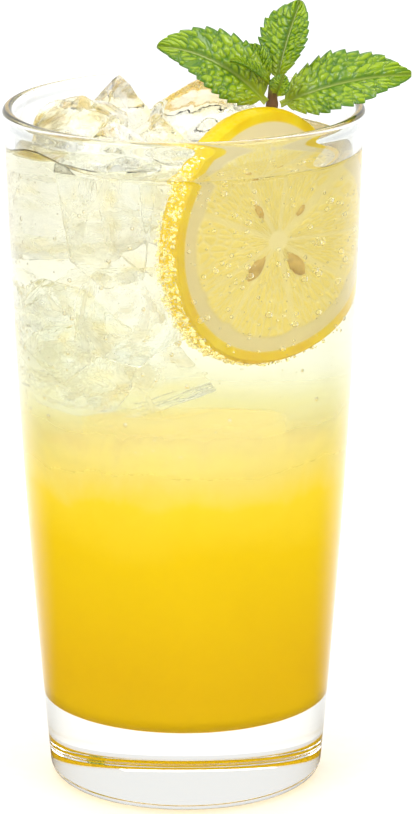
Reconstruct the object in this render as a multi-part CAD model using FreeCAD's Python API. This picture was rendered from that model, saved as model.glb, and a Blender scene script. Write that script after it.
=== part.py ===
"""A tall glass of cloudy lemonade with ice, a wheel of lemon and a sprig of mint.

Millimetres, +Z up. The origin is on the axis of the glass, at the table.
"""
import FreeCAD
import Part
import collections
import itertools
import math
import os
import random

V = FreeCAD.Vector

# ---- The glass: a straight-standing tumbler with gently bowed sides -------------------
glass_height = 150.0
lip_radius = 38.55          # outside of the wall just under the lip
foot_radius = 30.1          # outside of the wall just above the heel
side_bow = 1.22             # bulge of the side, half way up, past a straight line
foot_height = 5.0
base_thickness = 18.3       # solid glass under the drink
wall = 2.0
heel_rounding = 3.4
floor_rounding = 4.0
bead_width = 2.3            # the rounded lip, a little thicker than the wall
bead_blend = 2.6            # height over which the bead runs into the wall

# ---- The drink -------------------------------------------------------------------------
headspace = 9.0             # from the lip down to the drink
drink_gap = 0.1             # between the drink and all that it touches

# ---- The wheel of lemon, standing upright against the front right of the wall ----------
wheel_radius = 26.8
wheel_thickness = 5.6
wheel_crown = 0.7           # how far the peel bulges between the two cut faces
wheel_rise = 10.4           # above the drink
wheel_turn = 46.5           # degrees from the X axis to the plane of the wheel
wheel_slide = 2.6           # along its own plane, to the back right
wheel_wall_gap = 0.35
segment_count = 9
segment_depth = 0.35
segment_reach = 21.4        # from the core to the outer end of the flesh
core_radius = 2.0
membrane = 0.8

# ---- Ice: broken lumps that float behind the wheel -------------------------------------
ice_gap = 0.8
ice_reach = 10.5            # from the middle of a lump to its sides
ice_depth = 24.0            # of a lump below the drink's surface
wall_facets = 24
snap = 0.05
Lump = collections.namedtuple("Lump", "name share behind peak rise slope")
# share and behind: the place along the wheel and behind it, as shares of the room there;
# peak: its offset from the lump's middle; rise: above the drink; slope: in degrees.
ice_lumps = [
    Lump("ice_back_left", share=0.31, behind=0.80, peak=(-0.5, -1.0), rise=12.6, slope=46.0),
    Lump("ice_left", share=-0.36, behind=0.73, peak=(1.5, -1.0), rise=10.4, slope=28.0),
    Lump("ice_front_left", share=-0.64, behind=0.28, peak=(0.8, 1.0), rise=9.8, slope=34.0),
    Lump("ice_middle", share=-0.24, behind=0.26, peak=(-1.0, -1.0), rise=10.0, slope=38.0),
    Lump("ice_back_right", share=0.34, behind=0.42, peak=(0.0, -1.0), rise=13.2, slope=42.0),
]

# ---- Mint: one stem with four leaves and a young one folded at the tip ------------------
stem_radius = 1.0
stem_along = 13.7           # place of the stem along the plane of the wheel
stem_wheel_gap = 0.5
stem_top_rise = 3.2         # of the stem's top above the wheel
stem_lower_end = 28.0       # of its lower end below the lip
stem_lean = 2.5             # how far the lower end stands back from the wheel
node_radius = 1.3
leaf_thickness = 0.5
leaf_seat_gap = 0.45
leaf_rows = 30
leaf_columns = 8
stalk = 0.05                # share of the length before the blade starts
petiole_half_width = 0.7
tip_half_width = 0.15
tooth_depth = 0.10          # as a share of the leaf's half width, and so is the next
quilting = 0.05             # waves of the blade between its veins
Leaf = collections.namedtuple(
    "Leaf", "name drop way tip belly face width widest fold droop teeth")
# drop: of the seat under the stem's top; way: out of the stem; tip: from the seat;
# belly: the rib's middle off a straight line; face: the way the upper side looks;
# width: of each half, at the share of the length called widest; fold: of each half up
# from the rib in degrees; droop: of the edges as a share of the half width.
mint_leaves = [
    Leaf("mint_leaf_left", drop=3.9, way=(-0.7, -0.8, -0.1), tip=(-23.4, -6.4, 13.5),
         belly=(0.4, 0.3, 2.8), face=(-0.2, -0.74, 0.66), width=7.2, widest=0.40,
         fold=16.0, droop=0.12, teeth=11),
    Leaf("mint_leaf_right", drop=4.9, way=(1.0, -0.2, 0.1), tip=(28.0, -2.4, 6.9),
         belly=(-0.3, -0.6, 1.7), face=(-0.1, -0.70, 0.72), width=7.5, widest=0.42,
         fold=17.0, droop=0.12, teeth=11),
    Leaf("mint_leaf_top", drop=0.4, way=(0.5, 0.9, 0.3), tip=(5.2, 5.2, 16.7),
         belly=(-0.3, 0.6, 0.2), face=(-0.5, -0.83, 0.25), width=6.3, widest=0.50,
         fold=27.0, droop=0.1, teeth=9),
    Leaf("mint_leaf_inner", drop=0.5, way=(-0.8, 0.5, 0.5), tip=(-5.0, 2.2, 7.0),
         belly=(0.3, 0.2, 0.8), face=(0.2, -0.85, 0.5), width=2.9, widest=0.5,
         fold=26.0, droop=0.1, teeth=6),
    Leaf("mint_leaf_young", drop=0.9, way=(-0.6, -0.8, 0.6), tip=(-8.4, -5.0, 6.0),
         belly=(0.2, -0.3, 0.9), face=(0.1, -0.6, 0.75), width=1.7, widest=0.45,
         fold=45.0, droop=0.0, teeth=5),
    Leaf("mint_leaf_bud", drop=2.4, way=(0.6, -1.0, 0.3), tip=(1.3, -1.6, 4.4),
         belly=(0.1, -0.5, 0.0), face=(-0.2, -0.9, 0.2), width=2.2, widest=0.5,
         fold=22.0, droop=0.1, teeth=4),
]

drink_level = glass_height - headspace
turn = math.radians(wheel_turn)
along = V(math.cos(turn), math.sin(turn), 0)
ahead = V(math.sin(turn), -math.cos(turn), 0)
up = V(0, 0, 1)


def circle_through(a, b, c):
    """Centre and radius, in the XZ plane, of the circle through three (x, z) points."""
    d = 2 * (a[0] * (b[1] - c[1]) + b[0] * (c[1] - a[1]) + c[0] * (a[1] - b[1]))
    sa, sb, sc = (p[0] ** 2 + p[1] ** 2 for p in (a, b, c))
    x = (sa * (b[1] - c[1]) + sb * (c[1] - a[1]) + sc * (a[1] - b[1])) / d
    z = (sa * (c[0] - b[0]) + sb * (a[0] - c[0]) + sc * (b[0] - a[0])) / d
    return x, z, math.hypot(a[0] - x, a[1] - z)


half_height = glass_height / 2
side_flare = (lip_radius - foot_radius) / (glass_height - foot_height)
waist_radius = foot_radius + side_flare * (half_height - foot_height) + side_bow
bow_x, bow_z, bow_radius = circle_through(
    (foot_radius, foot_height), (waist_radius, half_height), (lip_radius, glass_height))


def wall_radius(z, inset=0.0):
    """Radius of the bowed side at a height, moved inwards by inset."""
    radius = bow_radius - inset
    return bow_x + math.sqrt(radius ** 2 - (z - bow_z) ** 2)


def inner_radius(z):
    return wall_radius(z, wall)


def point(radius, z):
    return V(radius, 0, z)


def side_arc(z_low, z_high, inset):
    """The bowed side as an arc between two heights."""
    heights = (z_low, (z_low + z_high) / 2, z_high)
    return Part.Arc(*(point(wall_radius(z, inset), z) for z in heights)).toShape()


def line(a, b):
    return Part.LineSegment(a, b).toShape()


def turned(edges):
    """The solid that a closed outline in the XZ plane sweeps round the Z axis."""
    return Part.Face(Part.Wire(edges)).revolve(V(0, 0, 0), up, 360)


def round_rim(solid, z, radius, rounding):
    """Round the circular edge that lies at this height and radius."""
    for edge in solid.Edges:
        curve = edge.Curve
        if not isinstance(curve, Part.Circle):
            continue
        if abs(curve.Radius - radius) < 0.01 and abs(curve.Center.z - z) < 0.01:
            return solid.makeFillet(rounding, [edge])
    raise ValueError("no edge at that height and radius")


def cavity(top, inset, floor):
    """The inside of the glass up to a height, shrunk by inset."""
    low = point(wall_radius(floor, inset), floor)
    high = point(wall_radius(top, inset), top)
    body = turned([line(point(0, floor), low), side_arc(floor, top, inset),
                   line(high, point(0, top)), line(point(0, top), point(0, floor))])
    return round_rim(body, floor, low.x, floor_rounding)


def make_glass():
    bead_z = glass_height - bead_width / 2
    blend_z = bead_z - bead_blend
    bead_in = point(inner_radius(bead_z), bead_z)
    bead_out = point(bead_in.x + bead_width, bead_z)
    bead_top = point(bead_in.x + bead_width / 2, glass_height)
    blend_end = point(wall_radius(blend_z), blend_z)
    blend_mid = point((bead_out.x + blend_end.x) / 2 + 0.06, bead_z - bead_blend / 2)
    body = turned([
        line(point(0, 0), point(wall_radius(0), 0)),
        side_arc(0, blend_z, 0),
        Part.Arc(blend_end, blend_mid, bead_out).toShape(),
        Part.Arc(bead_out, bead_top, bead_in).toShape(),
        line(bead_in, point(0, bead_z)),
        line(point(0, bead_z), point(0, 0))])
    body = round_rim(body, 0, wall_radius(0), heel_rounding)
    return body.cut(cavity(bead_z, wall, base_thickness))


# ---- The wheel of lemon ------------------------------------------------------------------
wheel_centre_z = drink_level + wheel_rise - wheel_radius
wheel_face_radius = wheel_radius - wheel_crown
wheel_front = math.sqrt((inner_radius(wheel_centre_z) - wheel_wall_gap) ** 2
                        - (wheel_face_radius + wheel_slide) ** 2)
wheel_back = wheel_front - wheel_thickness
wheel_centre = (along * wheel_slide + ahead * (wheel_front - wheel_thickness / 2)
                + up * wheel_centre_z)


def place_wheel(shape):
    """Stand a shape that was made about the Z axis up in the wheel's place."""
    shape.Placement = FreeCAD.Placement(wheel_centre, FreeCAD.Rotation(up, ahead))
    return shape


def wheel_disc(grow):
    """The wheel without its segments, larger all round by grow."""
    half = wheel_thickness / 2 + grow
    face = wheel_face_radius + grow
    crown = wheel_radius + grow
    disc = turned([line(point(0, -half), point(face, -half)),
                   Part.Arc(point(face, -half), point(crown, 0), point(face, half)).toShape(),
                   line(point(face, half), point(0, half)),
                   line(point(0, half), point(0, -half))])
    return place_wheel(disc)


def segment_pocket(middle):
    """A sector between two membranes, its sides parallel to the membranes."""
    half = math.pi / segment_count
    inner = core_radius + membrane / 2 / math.sin(half)
    swing = half - math.asin(membrane / 2 / segment_reach)
    ends = [V(segment_reach * math.cos(middle + s * swing),
              segment_reach * math.sin(middle + s * swing), 0) for s in (-1, 0, 1)]
    tip = V(inner * math.cos(middle), inner * math.sin(middle), 0)
    outline = Part.Wire([line(tip, ends[0]), Part.Arc(*ends).toShape(), line(ends[2], tip)])
    return Part.Face(outline).extrude(up * segment_depth)


def make_lemon_wheel():
    disc = wheel_disc(0)
    pockets = []
    for index in range(segment_count):
        middle = 2 * math.pi * (index + 0.3) / segment_count
        for floor in (wheel_thickness / 2 - segment_depth, -wheel_thickness / 2):
            pocket = segment_pocket(middle)
            pocket.translate(up * floor)
            pockets.append(place_wheel(Part.makeCompound([pocket])))
    return disc.cut(pockets)


# ---- Ice ---------------------------------------------------------------------------------
def lump_middle(share_along, share_behind):
    """A place in the room behind the wheel, from its shares along and behind it."""
    radius = inner_radius(drink_level)
    behind = wheel_back - share_behind * (wheel_back + radius)
    half_chord = math.sqrt(radius ** 2 - behind ** 2)
    return along * (share_along * half_chord) + ahead * behind + up * drink_level


def corner_of(a, b, c):
    """The point that three planes share, or None where they have none."""
    (na, pa), (nb, pb), (nc, pc) = a, b, c
    volume = na.dot(nb.cross(nc))
    if abs(volume) < 1e-6:
        return None
    total = nb.cross(nc) * na.dot(pa) + nc.cross(na) * nb.dot(pb) + na.cross(nb) * nc.dot(pc)
    return total * (1 / volume)


def closed_by(triangles):
    """A closed solid from its triangles, turned so that its volume is positive."""
    shell = Part.makeShell([Part.Face(Part.makePolygon([a, b, c, a])) for a, b, c in triangles])
    shell.sewShape()
    solid = Part.makeSolid(shell)
    if solid.Volume < 0:
        solid.reverse()
    return solid


def polyhedron(planes):
    """The solid behind all the planes, each a direction outwards and a point.

    Corners closer together than snap are one corner, and each side is a fan of triangles.
    """
    known = []
    rings = [[] for _ in planes]
    for trio in itertools.combinations(range(len(planes)), 3):
        corner = corner_of(*(planes[k] for k in trio))
        if corner is None or any((corner - p).dot(n) > snap / 10 for n, p in planes):
            continue
        near = [other for other in known if (other - corner).Length < snap]
        if not near:
            known.append(corner)
            near = [corner]
        for k in trio:
            if near[0] not in rings[k]:
                rings[k].append(near[0])
    triangles = []
    for (normal, _), ring in zip(planes, rings):
        if len(ring) < 3:
            continue
        middle = sum(ring, V()) * (1 / len(ring))
        first = (ring[0] - middle).normalize()
        second = normal.cross(first)
        ring.sort(key=lambda p: math.atan2((p - middle).dot(second), (p - middle).dot(first)))
        triangles += [(ring[0], a, b) for a, b in zip(ring[1:], ring[2:])]
    return closed_by(triangles)


def tilted(azimuth, tilt):
    """A direction at an angle from straight up, in degrees."""
    a, t = math.radians(azimuth), math.radians(tilt)
    return V(math.sin(t) * math.cos(a), math.sin(t) * math.sin(a), math.cos(t))


def broken_faces(lump, middle):
    """The planes that an ice lump broke along, as directions and points."""
    dice = random.Random(lump.name)
    start = dice.uniform(0, 60)
    peak = middle + V(lump.peak[0], lump.peak[1], lump.rise)
    faces = []
    for k in range(4):
        normal = tilted(start + 90 * k + dice.uniform(-18, 18), lump.slope + dice.uniform(-9, 9))
        faces.append((normal, peak - normal * dice.uniform(0.0, 0.5)))
    for k in range(6):
        normal = tilted(start + 60 * k + dice.uniform(-14, 14), 90 + dice.uniform(-10, 12))
        faces.append((normal, middle + normal * ice_reach * dice.uniform(0.85, 1.05)))
    for k in range(3):
        normal = tilted(start + 120 * k + dice.uniform(-30, 30), 145 + dice.uniform(-12, 12))
        faces.append((normal, middle + normal * ice_depth * dice.uniform(0.8, 1.0)))
    return faces


def room_faces(index, middles):
    """The planes that keep a lump off the wheel, the wall, the stem and its neighbours."""
    middle = middles[index]
    faces = [(ahead, ahead * (wheel_back - ice_gap))]
    for other, place in enumerate(middles):
        if other != index:
            normal = (place - middle).normalize()
            faces.append((normal, (place + middle) * 0.5 - normal * (ice_gap / 2)))
    stem = stem_point(drink_level)
    normal = (stem - middle).normalize()
    faces.append((normal, stem - normal * (node_radius + stem_lean / 2 + ice_gap)))
    lowest = drink_level - ice_depth - ice_reach
    reach = inner_radius(lowest) * math.cos(math.pi / wall_facets) - ice_gap
    for k in range(wall_facets):
        normal = tilted(360 * k / wall_facets, 90)
        if normal.dot(middle) > 0:
            faces.append((normal, normal * reach))
    return faces


def make_ice(index, middles, grow):
    planes = broken_faces(ice_lumps[index], middles[index]) + room_faces(index, middles)
    return polyhedron([(normal, through + normal * grow) for normal, through in planes])


# ---- Mint --------------------------------------------------------------------------------
stem_top_z = drink_level + wheel_rise + stem_top_rise
stem_low_z = glass_height - stem_lower_end


def stem_point(z):
    """A point of the stem's axis, which leans back from the wheel as it goes down."""
    lean = stem_lean * (stem_top_z - z) / (stem_top_z - stem_low_z)
    behind = wheel_back - stem_wheel_gap - node_radius - lean
    return along * stem_along + ahead * behind + up * z


def make_stem(grow):
    low, top = stem_point(stem_low_z), stem_point(stem_top_z)
    way = top - low
    reach = V(way).normalize() * grow
    shaft = Part.makeCylinder(stem_radius + grow, way.Length + 2 * grow, low - reach, way)
    knuckle = stem_point(stem_top_z - max(leaf.drop for leaf in mint_leaves))
    return shaft.fuse(Part.makeSphere(node_radius + grow, knuckle)).removeSplitter()


def outline(leaf, s):
    """Half width of a leaf as a share of its widest, from the stalk (0) to the tip (1)."""
    bend = math.log(0.5) / math.log(leaf.widest)
    blade = max(s - stalk, 0.0) / (1 - stalk)
    body = max(math.sin(math.pi * blade ** bend), 0.0) ** 0.8
    tooth = (s * leaf.teeth) % 1.0
    return body * (1 + tooth_depth * (tooth - 0.5))


def leaf_row(leaf, s, rib, forward):
    """The points across a leaf's upper side at one place along its rib, and its normal."""
    side = forward.cross(V(*leaf.face)).normalize()
    normal = side.cross(forward).normalize()
    fold = math.radians(leaf.fold)
    half = leaf.width * outline(leaf, s) + petiole_half_width * (1 - s) ** 3 + tip_half_width
    row = []
    for column in range(leaf_columns + 1):
        v = 2 * column / leaf_columns - 1
        wave = math.sin(2 * math.pi * (s * leaf.teeth / 2 - abs(v) * 0.6))
        lift = abs(v) * math.sin(fold) - leaf.droop * v * v + quilting * wave * (1 - v * v)
        row.append(rib + side * (v * half * math.cos(fold)) + normal * (half * lift))
    return row, normal


def leaf_sides(leaf):
    """Rows of upper and lower points across a leaf, from its stalk to its tip."""
    way = V(*leaf.way).normalize()
    seat = stem_point(stem_top_z - leaf.drop) + way * (node_radius + leaf_seat_gap)
    end = seat + V(*leaf.tip)
    control = (seat + end) * 0.5 + V(*leaf.belly) * 2
    upper, lower = [], []
    for index in range(leaf_rows + 1):
        s = index / leaf_rows
        rib = seat * (1 - s) ** 2 + control * (2 * s * (1 - s)) + end * s ** 2
        forward = ((control - seat) * (1 - s) + (end - control) * s).normalize()
        row, normal = leaf_row(leaf, s, rib, forward)
        upper.append(row)
        lower.append([place - normal * leaf_thickness for place in row])
    return upper, lower


def quad(a, b, c, d):
    return [(a, b, c), (a, c, d)]


def make_leaf(leaf):
    """A closed shell of triangles between the two faces of a leaf."""
    upper, lower = leaf_sides(leaf)
    triangles = []
    for row in range(leaf_rows):
        for column in range(leaf_columns):
            r, c = row + 1, column + 1
            triangles += quad(upper[row][column], upper[row][c], upper[r][c], upper[r][column])
            triangles += quad(lower[row][column], lower[r][column], lower[r][c], lower[row][c])
        for c, flip in ((0, False), (leaf_columns, True)):
            edge = [upper[row][c], upper[row + 1][c], lower[row + 1][c], lower[row][c]]
            triangles += quad(*(edge[::-1] if flip else edge))
    for row, flip in ((0, True), (leaf_rows, False)):
        for column in range(leaf_columns):
            c = column + 1
            edge = [upper[row][column], upper[row][c], lower[row][c], lower[row][column]]
            triangles += quad(*(edge[::-1] if flip else edge))
    return closed_by(triangles)


# ---- The whole ---------------------------------------------------------------------------
def make_drink(middles):
    """The drink fills the glass up to its level, cut round all that stands in it."""
    body = cavity(drink_level, wall + drink_gap, base_thickness + drink_gap)
    sunk = [make_ice(index, middles, drink_gap) for index in range(len(middles))]
    return body.cut([wheel_disc(drink_gap), make_stem(drink_gap)] + sunk)


def build():
    middles = [lump_middle(lump.share, lump.behind) for lump in ice_lumps]
    parts = {"glass": make_glass(), "lemonade": make_drink(middles),
             "lemon_wheel": make_lemon_wheel(), "mint_stem": make_stem(0)}
    for index, lump in enumerate(ice_lumps):
        parts[lump.name] = make_ice(index, middles, 0)
    for leaf in mint_leaves:
        parts[leaf.name] = make_leaf(leaf)
    return parts


def export(parts):
    os.makedirs("parts", exist_ok=True)
    for name, shape in parts.items():
        solids = shape.Solids
        if len(solids) != 1 or not solids[0].isValid():
            raise ValueError(name + " is not one valid solid")
        solids[0].exportStep("parts/" + name + ".step")
        print(name, round(solids[0].Volume), "mm3")


export(build())
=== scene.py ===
"""Glass of lemonade: the looks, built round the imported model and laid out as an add-on.

Metres, +Z up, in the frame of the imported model. Each operator makes one piece or a group of
like pieces: the tumbler, the drink, the ice, the lemon wheel, the bubbles, the mint, the studio.
"""
import math
from collections import namedtuple

import bmesh
import bpy
import numpy as np
from bpy.props import FloatProperty, FloatVectorProperty, IntProperty, PointerProperty
from mathutils import Matrix, Vector


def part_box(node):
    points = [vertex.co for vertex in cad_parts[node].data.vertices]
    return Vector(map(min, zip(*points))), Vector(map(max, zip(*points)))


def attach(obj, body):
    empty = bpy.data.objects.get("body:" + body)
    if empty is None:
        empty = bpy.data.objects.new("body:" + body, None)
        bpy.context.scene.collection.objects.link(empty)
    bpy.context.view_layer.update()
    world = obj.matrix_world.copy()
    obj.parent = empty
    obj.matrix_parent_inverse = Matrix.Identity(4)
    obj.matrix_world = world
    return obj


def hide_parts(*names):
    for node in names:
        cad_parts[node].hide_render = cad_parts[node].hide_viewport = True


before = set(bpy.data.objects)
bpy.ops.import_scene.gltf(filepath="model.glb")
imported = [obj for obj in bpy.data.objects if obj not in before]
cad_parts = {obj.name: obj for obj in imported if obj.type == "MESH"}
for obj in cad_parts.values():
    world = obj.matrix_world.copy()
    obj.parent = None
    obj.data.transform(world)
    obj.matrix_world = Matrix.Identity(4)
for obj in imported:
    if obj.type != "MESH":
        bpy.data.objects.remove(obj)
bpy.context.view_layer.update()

bl_info = {
    "name": "Glass of lemonade",
    "version": (1, 0, 0),
    "blender": (4, 5, 0),
    "location": "View3D > Sidebar > Lemonade",
    "description": "Makes a tall glass of lemonade with ice, a lemon wheel and mint",
    "category": "Object",
}

MM = 0.001
TURN = 2 * math.pi
UP = np.array((0, 0, 1.0))
BODY = "root"


# ---- Colours, nodes and properties ---------------------------------------------------------
def srgb(code):
    """Linear red, green and blue of an sRGB hex colour."""
    parts = np.array([int(code[at:at + 2], 16) for at in (1, 3, 5)]) / 255
    return tuple(np.where(parts <= 0.04045, parts / 12.92, ((parts + 0.055) / 1.055) ** 2.4))


def rgba(colour):
    return (*colour, 1.0)


def length(name, millimetres, description):
    return FloatProperty(name=name, description=description, default=millimetres * MM,
                         unit="LENGTH", precision=5)


def share(name, default, description):
    return FloatProperty(name=name, description=description, default=default, min=0, max=1,
                         subtype="FACTOR")


def colour(name, code, description):
    return FloatVectorProperty(name=name, description=description, default=srgb(code), size=3,
                               min=0, max=1, subtype="COLOR")


def count(name, default, description):
    return IntProperty(name=name, description=description, default=default, min=0)


def add(tree, kind, inputs=None, **settings):
    """Add a node, set its settings, and give its inputs values or links."""
    made = tree.nodes.new(kind)
    for key, value in settings.items():
        setattr(made, key, value)
    for key, value in (inputs or {}).items():
        if isinstance(value, bpy.types.NodeSocket):
            tree.links.new(value, made.inputs[key])
        else:
            made.inputs[key].default_value = value
    return made


def new_material(name):
    """An empty node material and its node tree."""
    material = bpy.data.materials.new(name)
    material.use_nodes = True
    material.node_tree.nodes.clear()
    return material, material.node_tree


def finish_material(material, surface):
    add(material.node_tree, "ShaderNodeOutputMaterial", {"Surface": surface})
    return material


def ramp(tree, factor, stops):
    """The colour socket of a ramp through (place, linear colour) stops."""
    made = add(tree, "ShaderNodeValToRGB", {"Fac": factor})
    while len(made.color_ramp.elements) < len(stops):
        made.color_ramp.elements.new(0.5)
    for element, (place, shade) in zip(made.color_ramp.elements, stops):
        element.position = place
        element.color = rgba(shade)
    return made.outputs["Color"]


def blend(tree, factor, first, second):
    """The first colour at 0 and the second at 1, as a socket."""
    made = add(tree, "ShaderNodeMix", {0: factor, 6: first, 7: second}, data_type="RGBA")
    return made.outputs[2]


def object_place(tree):
    """A point's place in the frame, as a socket."""
    return add(tree, "ShaderNodeTexCoord").outputs["Object"]


def node_height(tree):
    """Height above the table, as a socket."""
    return add(tree, "ShaderNodeSeparateXYZ", {0: object_place(tree)}).outputs["Z"]


def between(tree, value, low, high):
    """The value's place between low and high, from 0 to 1, smoothed."""
    made = add(tree, "ShaderNodeMapRange", {"Value": value, "From Min": low, "From Max": high},
               interpolation_type="SMOOTHSTEP")
    return made.outputs["Result"]


def mark(tree, name):
    """A value that the mesh holds at its points, as a socket."""
    return add(tree, "ShaderNodeAttribute", attribute_name=name).outputs["Fac"]


def lets_lamps_through(tree, shader, tint):
    """Clear things don't block the lamps: a shadow ray sees the tint instead of the shader."""
    path = add(tree, "ShaderNodeLightPath")
    clear = add(tree, "ShaderNodeBsdfTransparent", {"Color": rgba(tint)})
    mixed = add(tree, "ShaderNodeMixShader", {0: path.outputs["Is Shadow Ray"], 1: shader,
                                              2: clear.outputs[0]})
    return mixed.outputs[0]


# ---- Arrays and meshes ---------------------------------------------------------------------
def smooth(value, low, high):
    """Smoothstep: 0 below low, 1 above high, and 3t^2 - 2t^3 between."""
    t = np.clip((value - low) / (high - low), 0, 1)
    return t * t * (3 - 2 * t)


def waves(points, wavelength, seed, number=14):
    """A soft unevenness from -1 to 1: the mean of sine waves in random directions."""
    dice = np.random.default_rng(seed)
    way = dice.normal(size=(number, 3))
    way *= TURN / wavelength / np.linalg.norm(way, axis=1)[:, None]
    way *= dice.uniform(0.6, 1.5, (number, 1))
    phase = dice.uniform(0, TURN, number)
    return np.sin(points @ way.T + phase).mean(axis=-1) * 2.2


def cells(u, v, seed):
    """Distances from each (u, v) to the nearest and next of points jittered about a unit grid."""
    nearest = np.full(np.broadcast(u, v).shape, 9.0)
    second = nearest.copy()
    for step_u in (-1, 0, 1):
        for step_v in (-1, 0, 1):
            column, row = np.floor(u) + step_u, np.floor(v) + step_v
            jitter_u = np.sin(column * 127.1 + row * 311.7 + seed) * 43758.5453 % 1
            jitter_v = np.sin(column * 269.5 + row * 183.3 + seed) * 43758.5453 % 1
            distance = np.hypot(column + jitter_u - u, row + jitter_v - v)
            second = np.minimum(second, np.maximum(nearest, distance))
            nearest = np.minimum(nearest, distance)
    return nearest, second


def mesh_object(name, points, faces, material, marks=None):
    """A smooth object from arrays of points and of faces, with named values at the points."""
    mesh = bpy.data.meshes.new(name)
    mesh.from_pydata(points, [], faces)
    mesh.polygons.foreach_set("use_smooth", np.full(len(mesh.polygons), True))
    for label, values in (marks or {}).items():
        mesh.attributes.new(label, "FLOAT", "POINT").data.foreach_set("value", values)
    mesh.materials.append(material)
    mesh.update()
    made = bpy.data.objects.new(name, mesh)
    bpy.context.scene.collection.objects.link(made)
    return made


def closed_surface(name, rings, material, marks=None):
    """A closed skin over rings of points, with a pole at the mean of the first and the last.

    rings is (rings, points round a ring, 3). Each ring joins the next by quads that wrap
    round, the poles close it by triangles, and all turn over if the volume is negative.
    """
    number, around = rings.shape[:2]
    poles = np.stack([rings[0].mean(axis=0), rings[-1].mean(axis=0)])
    points = np.concatenate([rings.reshape(-1, 3), poles])
    column = np.arange(around)
    after = (column + 1) % around
    start = (np.arange(number - 1) * around)[:, None]
    quads = np.stack([start + column, start + after, start + after + around,
                      start + column + around], axis=-1).reshape(-1, 4)
    last = (number - 1) * around
    first_fan = np.stack([after, column, np.full(around, number * around)], axis=-1)
    last_fan = np.stack([last + column, last + after,
                         np.full(around, number * around + 1)], axis=-1)
    halves = np.concatenate([quads[:, [0, 1, 2]], quads[:, [0, 2, 3]], first_fan, last_fan])
    a, b, c = (points[halves[:, k]] for k in range(3))
    if np.einsum("ij,ij->", a, np.cross(b, c)) < 0:
        quads, first_fan, last_fan = quads[:, ::-1], first_fan[:, ::-1], last_fan[:, ::-1]
    faces = quads.tolist() + first_fan.tolist() + last_fan.tolist()
    values = {label: np.concatenate([v.ravel(), [v[0].mean(), v[-1].mean()]]).astype(np.float32)
              for label, v in (marks or {}).items()}
    return mesh_object(name, points, faces, material, values)


def lathe(radius, height, around):
    """Rings about the Z axis from arrays of radius and height, which may vary round the ring."""
    angle = np.arange(around) * TURN / around
    radius, height = (np.broadcast_to(a.reshape(len(a), -1), (len(a), around))
                      for a in (radius, height))
    return np.stack([radius * np.cos(angle), radius * np.sin(angle), height], axis=-1)


def ball():
    """A ball of radius 1 with few faces: the corners of an icosphere and its triangles."""
    shape = bmesh.new()
    bmesh.ops.create_icosphere(shape, subdivisions=2, radius=1)
    points = np.array([corner.co for corner in shape.verts])
    faces = np.array([[corner.index for corner in face.verts] for face in shape.faces])
    shape.free()
    return points, faces


def beads(name, centres, radii, material):
    """Many small balls as one joined mesh: each point is centre + radius * point of the ball."""
    points, faces = ball()
    spread = centres[:, None] + points[None] * radii[:, None, None]
    joined = faces[None] + (np.arange(len(centres)) * len(points))[:, None, None]
    return mesh_object(name, spread.reshape(-1, 3), joined.reshape(-1, 3).tolist(), material)


def settle(piece, slot, *nodes):
    """The piece rides on the one body and stands for its nodes. The slot is not used."""
    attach(piece, BODY)
    if nodes:
        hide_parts(*nodes)
    return piece


def unit(vectors):
    """The same directions at length 1."""
    return vectors / np.linalg.norm(vectors, axis=-1, keepdims=True)


def box_corners(name):
    """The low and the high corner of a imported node's box, as arrays."""
    low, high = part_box(name)
    return np.array(low), np.array(high)


def node_points(name):
    """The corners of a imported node, as an array."""
    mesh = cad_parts[name].data
    points = np.empty(len(mesh.vertices) * 3)
    mesh.vertices.foreach_get("co", points)
    return points.reshape(-1, 3)


# ---- The tumbler ---------------------------------------------------------------------------
class TumblerSettings(bpy.types.PropertyGroup):
    foot_radius: length("Foot radius", 30.1, "Outside of the wall just above the heel")
    foot_height: length("Foot height", 5.0, "Height at which the foot is measured")
    waist_radius: length("Waist radius", 35.4, "Outside of the wall half way up")
    lip_radius: length("Lip radius", 38.55, "Outside of the wall at the lip")
    wall: length("Wall", 2.0, "Thickness of the side")
    base: length("Base", 18.3, "Thickness of the solid base")
    heel: length("Heel", 3.4, "Rounding of the heel")
    corner: length("Corner", 4.0, "Rounding of the inside corner")
    bead: length("Bead", 2.3, "Width of the rounded lip")
    blend: length("Blend", 2.6, "Height over which the bead runs into the wall")
    clear: colour("Clear", "#FBFDFC", "The glass")
    shadow: colour("Shadow", "#F4F6F5", "Light that each of its faces lets through")


def bow():
    """Centre and radius of the circle through the foot, the waist and the lip: the centre
    solves the two linear equations that say it is as far from one point as from the next."""
    g = bpy.context.scene.lemonade_tumbler
    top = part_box("glass")[1].z
    a = Vector((g.foot_radius, g.foot_height))
    b = Vector((g.waist_radius, top / 2))
    c = Vector((g.lip_radius, top))
    rows = np.array([2 * (b - a), 2 * (c - a)])
    sides = np.array([b.dot(b) - a.dot(a), c.dot(c) - a.dot(a)])
    x, z = np.linalg.solve(rows, sides)
    return x, z, math.hypot(a.x - x, a.y - z)


def side_radius(height, inset=0.0):
    """Radius of the bowed side at a height, moved inwards by inset: the circle's centre plus
    the root of its radius squared less the height from the centre squared."""
    x, z, radius = bow()
    return x + np.sqrt((radius - inset) ** 2 - (height - z) ** 2)


def clear_glass():
    """Soda-lime glass, pressed and fire polished: hard reflections, sharp refraction, and the
    faintest green."""
    g = bpy.context.scene.lemonade_tumbler
    material, tree = new_material("soda_lime_glass")
    glass = add(tree, "ShaderNodeBsdfPrincipled", {
        "Base Color": rgba(g.clear), "Roughness": 0.0, "IOR": 1.5, "Transmission Weight": 1.0})
    return finish_material(material, lets_lamps_through(tree, glass.outputs[0], g.shadow))


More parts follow.
